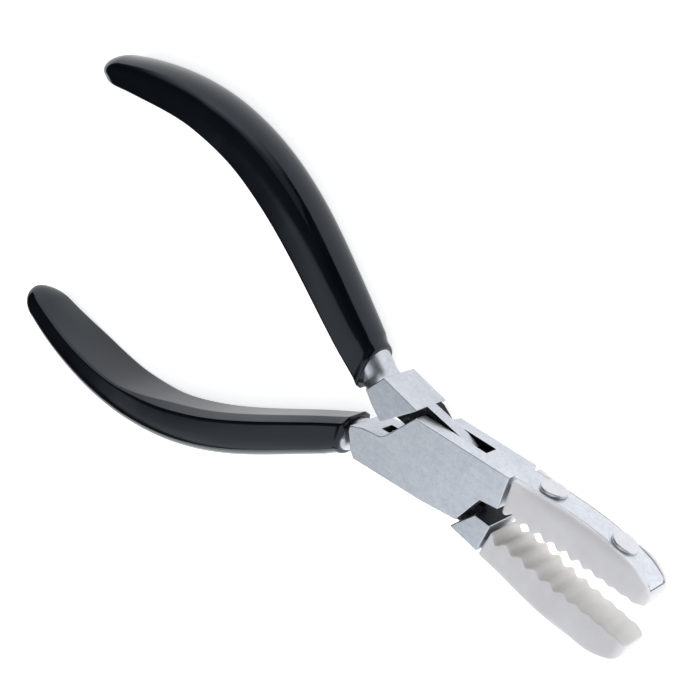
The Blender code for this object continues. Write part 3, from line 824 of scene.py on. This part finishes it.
def nylon_jaw(name, jaw, half, material, node):
    """Nylon block: flat sides, grooved gripping face, rounded outer edges and a channel for the strap."""
    stations = round((jaw.tip_x - JAW_ROOT_X) / RING_STEP)
    rings = []
    for i in range(stations + 1):
        x = JAW_ROOT_X + (jaw.tip_x - JAW_ROOT_X) * i / stations
        nose = max(0.0, (x - jaw.tip_x + NOSE) / NOSE)
        shrink = NOSE_DROP * (1.0 - math.sqrt(max(0.0, 1.0 - nose * nose)))
        root = max(0.0, 1.0 - (x - JAW_ROOT_X) / NYLON_ROOT_ROUND)
        shrink += NYLON_ROOT_ROUND * (1.0 - math.sqrt(max(0.0, 1.0 - root * root)))
        half_width = jaw.nylon_half_width(x) - shrink
        low = jaw.gripping(x) + shrink
        high = jaw.nylon_outer(x) - shrink
        height, width = jaw.corner(x)
        right = [(half_width - NYLON_EDGE + NYLON_EDGE * math.sin(a), low + NYLON_EDGE * (1.0 - math.cos(a)))
                 for a in quarter(NYLON_EDGE_STEPS)]
        right += [(half_width - width + width * math.cos(a), high - height + height * math.sin(a))
                  for a in quarter(NYLON_CORNER_STEPS)]
        section = right + [(-z, y) for z, y in reversed(right)]
        rings.append([(x, y * jaw.side, z) for z, y in section])
    block = loft(name, rings, half, material)
    tip = STRAP_TIP_X + CHANNEL_GAP_TIP
    cut(block, strap_loft(name + "_channel", jaw, CHANNEL_START_X, tip, half, channel_gap, CHANNEL_OPEN, 0.0))
    hole = RIVET_SHANK_RADIUS + RIVET_HOLE_GAP
    profile = ((hole, -RIVET_LENGTH - RIVET_HOLE_PAST), (hole, RIVET_HOLE_TOP))
    for x in RIVET_X:
        cut(block, turned("hole", profile, *rivet_place(jaw, x), half, sides=RIVET_HOLE_SIDES))
    shade(block, NYLON_SHARP)
    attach(block, half.body)
    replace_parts(block, node)


def rivet_place(jaw, x):
    """Where a rivet stands on the strap's outer face, and which way it points."""
    return Vector((x, jaw.outer(x) * jaw.side, 0.0)), jaw.normal(x)


def rivet(name, jaw, x, half, material, node):
    """A round head that is set tight on the strap, with a rounded rim and a slightly domed middle."""
    top = RIVET_GAP + RIVET_HEAD_HEIGHT
    r = RIVET_HEAD_RADIUS
    profile = [(RIVET_SHANK_RADIUS, -RIVET_LENGTH), (RIVET_SHANK_RADIUS, -STRAP_THICKNESS), RIVET_NECK]
    profile += [(r - inward, up) for inward, up in RIVET_FOOT]
    profile.append((r, top - RIVET_SIDE_DROP))
    profile += [(r - RIVET_RIM + RIVET_RIM * math.cos(a), top - RIVET_RIM_DROP + RIVET_RIM * math.sin(a))
                for a in quarter(RIVET_RIM_STEPS)[1:]]
    profile += [(r - inward, top - down) for inward, down in RIVET_CROWN]
    profile.append((RIVET_MIDDLE, top))
    body = turned(name, profile, *rivet_place(jaw, x), half, material)
    shade(body, RIVET_SHARP)
    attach(body, half.body)
    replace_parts(body, node)


# --- The two steel halves -----------------------------------------------------------------------------------

def slot_outline():
    """The slot that the tongue swings in: walls round the pin, open above and below."""
    right = [(7.7, 9.0), (7.7, 6.4)] + arc(SLOT_RADIUS, 34.0, -2.0) + [(10.7, -0.45), (10.7, -9.0)]
    left = [(-7.7, -9.0), (-7.7, -6.4)] + arc(SLOT_RADIUS, 214.0, 188.0)
    left += [(-12.4, -1.9), (-13.6, 0.2), (-13.6, 9.0)]
    return list(reversed(right + left))


def tongue_outline():
    """The thin middle of the tongue half, with round flanks that turn inside the slot."""
    top = [(-13.0, 4.0), (-9.0, 6.6), (-7.35, 6.9), (0.4, 6.72), (1.9, 6.5), (3.4, 6.2)]
    flank = arc(TONGUE_RADIUS, 49.0, -8.0) + [(12.6, -1.06), (13.0, -4.0)]
    bottom = [(9.0, -6.3), (-0.4, -6.55), (-1.9, -6.4), (-3.4, -6.15)]
    other_flank = arc(TONGUE_RADIUS, 229.0, 172.0) + [(-12.6, 1.06)]
    return list(reversed(top + flank + bottom + other_flank))


def root_wedge_rings():
    """The tongue thickens towards the back beside the shoulder block."""
    deep = [(-6.8, 6.85), (-12.6, 6.95), (-12.6, 1.6), (-11.0, 1.4)]
    shallow = [(-2.9, 6.75), (-12.6, 6.95), (-12.6, 1.6), (-7.6, 1.4)]
    top = -TONGUE / 2 + WEDGE_OVERLAP
    return [[(x, y, -WEDGE_DEPTH) for x, y in deep], [(x, y, top) for x, y in shallow]]


def pin_hole(body, gap, half, material):
    hole = PIN_RADIUS + gap
    tool = turned("pin_hole", ((hole, -THICKNESS), (hole, THICKNESS)), (0, 0, 0), (0, 0, 1), half, material)
    cut(body, tool)


def steel_piece(body, half, node):
    finish_steel(body)
    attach(body, half.body)
    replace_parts(body, node)


def box_half(half, material, painted_shade):
    """The head with its slot, the lower neck, and the strap of the upper jaw."""
    deep = THICKNESS / 2
    body = prism("box_half_steel", BOX_HEAD, -deep, deep, half, material, EDGE, CORNER_ROUND)
    # The slot's walls take the near-black steel: painted shade.
    cut(body, prism("slot", slot_outline(), -SLOT / 2, SLOT / 2, half, painted_shade))
    cut(body, prism("back_wall_cut", BACK_WALL_CUT, -THICKNESS, -SLOT / 4, half, material))
    cut(body, neck(-1, half, material), "UNION")
    add_strap(body, UPPER_JAW, half, material)
    # The pin hole's wall takes the near-black steel: painted shade round the pin.
    pin_hole(body, BOX_HOLE_GAP, half, painted_shade)
    steel_piece(body, half, "box_half")


def tongue_half(half, material, painted_shade):
    """The tongue with its two shoulders, the upper neck, and the strap of the lower jaw."""
    deep = THICKNESS / 2
    body = prism("tongue_half_steel", tongue_outline(), -TONGUE / 2, TONGUE / 2, half, material)
    # Painted shade: the tongue's faces in the slot, and those nearer the middle than OUTER_FACES_Y, take the
    # near-black steel.
    body.data.materials.append(painted_shade)
    to_half = half.matrix.inverted()
    for face in body.data.polygons:
        if abs(face.normal.z) > FLAT_NORMAL_Z or abs((to_half @ face.center).y) < OUTER_FACES_Y * MM:
            face.material_index = 1
    block = prism("shoulder_block", SHOULDER_BLOCK, -deep, deep, half, material, EDGE, CORNER_ROUND)
    cut(body, block, "UNION")
    shoulder = prism("jaw_shoulder", JAW_SHOULDER, -deep, deep, half, material, EDGE, CORNER_ROUND)
    # Painted shade on the shoulder's faces that look into the box.
    shoulder.data.materials.append(painted_shade)
    for face in shoulder.data.polygons:
        if face.normal.y > FRONT_NORMAL_Y:
            face.material_index = 1
    cut(body, shoulder, "UNION")
    # The root wedge is painted with the near-black steel, as shade beside the shoulder block.
    cut(body, loft("root_wedge", root_wedge_rings(), half, painted_shade), "UNION")
    cut(body, neck(1, half, material), "UNION")
    add_strap(body, LOWER_JAW, half, material)
    # The pin hole's wall takes the near-black steel: painted shade round the pin.
    pin_hole(body, TONGUE_HOLE_GAP, half, painted_shade)
    steel_piece(body, half, "tongue_half")


def pivot_pin(half, material):
    """Ground flush with the box, with a hair-fine chamfer that shows as a faint ring."""
    deep = THICKNESS / 2
    profile = ((PIN_RADIUS - PIN_CHAMFER, -deep), (PIN_RADIUS, -deep + PIN_CHAMFER),
               (PIN_RADIUS, deep - PIN_CHAMFER), (PIN_RADIUS - PIN_CHAMFER, deep))
    pin = turned("pivot_pin_flush", profile, (0, 0, 0), (0, 0, 1), half, material)
    shade(pin, PIN_SHARP)
    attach(pin, half.body)
    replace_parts(pin, "pivot_pin")


# --- Build --------------------------------------------------------------------------------------------------

BOX = Half("box_side", HALF_OPENING)
TONGUE_SIDE = Half("tongue_side", -HALF_OPENING)

grinding = math.radians(HALF_OPENING)
box_steel = steel_material("box_steel", BOX_STEEL, GROUND_ROUGH, -grinding)
tongue_steel = steel_material("tongue_steel", TONGUE_STEEL, GROUND_ROUGH, grinding)
pin_steel = steel_material("pin_steel", BOX_STEEL, GROUND_ROUGH, -grinding)
rivet_steel = steel_material("rivet_steel", RIVET_STEEL, RIVET_ROUGH, RIVET_TURN)
# Painted shade: near-black steel for the faces deep in the joint and the slot.
painted_shade_steel = painted_shade_steel_material("joint_painted_shade")
upper_nylon = nylon_material("upper_nylon", (0.0, -1.0, 0.0))
lower_nylon = nylon_material("lower_nylon", (0.0, 1.0, 0.0))
vinyl = vinyl_material("black_vinyl")

box_half(BOX, box_steel, painted_shade_steel)
tongue_half(TONGUE_SIDE, tongue_steel, painted_shade_steel)
pivot_pin(BOX, pin_steel)

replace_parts(grip("lower_grip_vinyl", -1, LOWER_GRIP_END, LOWER_MOUTH, BOX, vinyl), "lower_grip")
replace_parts(grip("upper_grip_vinyl", 1, UPPER_GRIP_END, UPPER_MOUTH, TONGUE_SIDE, vinyl), "upper_grip")

for place_name, jaw, half, nylon in (("upper", UPPER_JAW, BOX, upper_nylon),
                                     ("lower", LOWER_JAW, TONGUE_SIDE, lower_nylon)):
    nylon_jaw(place_name + "_nylon", jaw, half, nylon, place_name + "_nylon_jaw")
    for end_name, x in zip(("rear", "front"), RIVET_X):
        node = f"{place_name}_{end_name}_rivet"
        rivet(node + "_head", jaw, x, half, rivet_steel, node)


# --- Floor, light and camera --------------------------------------------------------------------------------

FLOOR_GAP = 0.05
FLOOR_Z = cad_bounds[0][2] - FLOOR_GAP * MM
FLOOR_REACH = 30.0
FLOOR_COLOURS = ((0.90, 0.90, 0.905), (0.93, 0.93, 0.935))
FLOOR_GLOW = 0.78
WALL_RADIUS = 6.0
WHITE = (1.0, 1.0, 1.0, 1.0)
CAMERA_PLACE = (0.10338, 0.13663, 0.22805)
CAMERA_RIGHT = Vector((0.723, 0.3267, -0.6087))
CAMERA_UP = Vector((-0.5257, 0.8318, -0.178))
CAMERA_BACK = Vector((0.4482, 0.4487, 0.7732))
CAMERA_CLIP = 0.01
LENS = 82.77
SENSOR = 36.0
ROOM_COLOUR = (0.93, 0.965, 1.0, 1.0)
# Soft lights in the room: towards, cosines of the angle at which each fades in and is full, dim, bright.
SKY_LIGHTS = (((0.44, -0.55, 0.71), 0.50, 0.61, 0.03, 1.0), ((0.44, -0.55, 0.71), 0.6, 1.0, 0.0, 0.3),
              ((0.0, 0.0, 1.0), 0.3, 1.0, 0.0, 0.1), ((-0.45, 0.89, 0.05), 0.82, 1.0, 0.0, 1.6))
BACK_LIGHT = {"place": (-0.25, 1.0, 0.5), "width": 1.0, "height": 0.5, "radiance": 0.4}


def floor():
    m = Nodes("floor")
    speckle = m.noise(m.place(), scale=40.0, detail=2.0, roughness=0.5)
    m.set(Base_Color=m.mix(speckle, *FLOOR_COLOURS), Roughness=0.8)
    m.set(Emission_Color=WHITE, Emission_Strength=FLOOR_GLOW)
    mesh = bpy.data.meshes.new("floor")
    corners = ((-1.0, -1.0), (1.0, -1.0), (1.0, 1.0), (-1.0, 1.0))
    mesh.from_pydata([(x * FLOOR_REACH, y * FLOOR_REACH, FLOOR_Z) for x, y in corners], [], [(0, 1, 2, 3)])
    mesh.materials.append(m.material)
    sheet = bpy.data.objects.new("floor", mesh)
    bpy.context.scene.collection.objects.link(sheet)


def backdrop():
    """A plain wall all round, only there for the camera: it lights nothing and shows in no reflection."""
    shell = bmesh.new()
    bmesh.ops.create_uvsphere(shell, u_segments=48, v_segments=24, radius=WALL_RADIUS)
    mesh = bpy.data.meshes.new("wall")
    shell.to_mesh(mesh)
    shell.free()
    wall = bpy.data.objects.new("wall", mesh)
    bpy.context.scene.collection.objects.link(wall)
    m = Nodes("wall")
    m.set(Base_Color=(0.0, 0.0, 0.0, 1.0), Specular_IOR_Level=0.0)
    m.set(Emission_Color=WHITE, Emission_Strength=1.0)
    mesh.materials.append(m.material)
    wall.visible_diffuse = False
    wall.visible_glossy = False
    wall.visible_transmission = False
    wall.visible_volume_scatter = False
    wall.visible_shadow = False


def softbox(name, place, width, height, radiance):
    """A rectangular light that faces the pin, given by the brightness of its face."""
    data = bpy.data.lights.new(name, "AREA")
    data.shape = "RECTANGLE"
    data.size = width
    data.size_y = height
    data.energy = radiance * math.pi * width * height
    lamp = bpy.data.objects.new(name, data)
    lamp.location = place
    lamp.rotation_euler = Vector(place).to_track_quat("Z", "Y").to_euler()
    bpy.context.scene.collection.objects.link(lamp)


def camera():
    data = bpy.data.cameras.new("camera")
    data.sensor_width = SENSOR
    data.lens = LENS
    data.clip_start = CAMERA_CLIP
    view = bpy.data.objects.new("camera", data)
    turned_to = Matrix((CAMERA_RIGHT, CAMERA_UP, CAMERA_BACK)).transposed().to_4x4()
    view.matrix_world = Matrix.Translation(CAMERA_PLACE) @ turned_to
    bpy.context.scene.collection.objects.link(view)
    bpy.context.scene.camera = view


def world():
    """A dim room: a broad soft light high up at -Y, a faint glow overhead, and a bright wall low at +Y."""
    sky = bpy.data.worlds.new("studio")
    sky.use_nodes = True
    tree = sky.node_tree
    background = tree.nodes["Background"]
    background.inputs["Color"].default_value = ROOM_COLOUR
    direction = tree.nodes.new("ShaderNodeTexCoord")
    total = None
    for towards, low, high, dim, bright in SKY_LIGHTS:
        dot = tree.nodes.new("ShaderNodeVectorMath")
        dot.operation = "DOT_PRODUCT"
        tree.links.new(direction.outputs["Generated"], dot.inputs[0])
        dot.inputs[1].default_value = Vector(towards).normalized()
        step = tree.nodes.new("ShaderNodeMapRange")
        step.interpolation_type = "SMOOTHSTEP"
        for socket, value in zip(("From Min", "From Max", "To Min", "To Max"), (low, high, dim, bright)):
            step.inputs[socket].default_value = value
        tree.links.new(dot.outputs["Value"], step.inputs["Value"])
        if total is None:
            total = step.outputs["Result"]
            continue
        add = tree.nodes.new("ShaderNodeMath")
        tree.links.new(total, add.inputs[0])
        tree.links.new(step.outputs["Result"], add.inputs[1])
        total = add.outputs[0]
    tree.links.new(total, background.inputs["Strength"])
    bpy.context.scene.world = sky


floor()
backdrop()
world()
softbox("back", **BACK_LIGHT)
camera()
bpy.context.scene.view_settings.view_transform = "Standard"
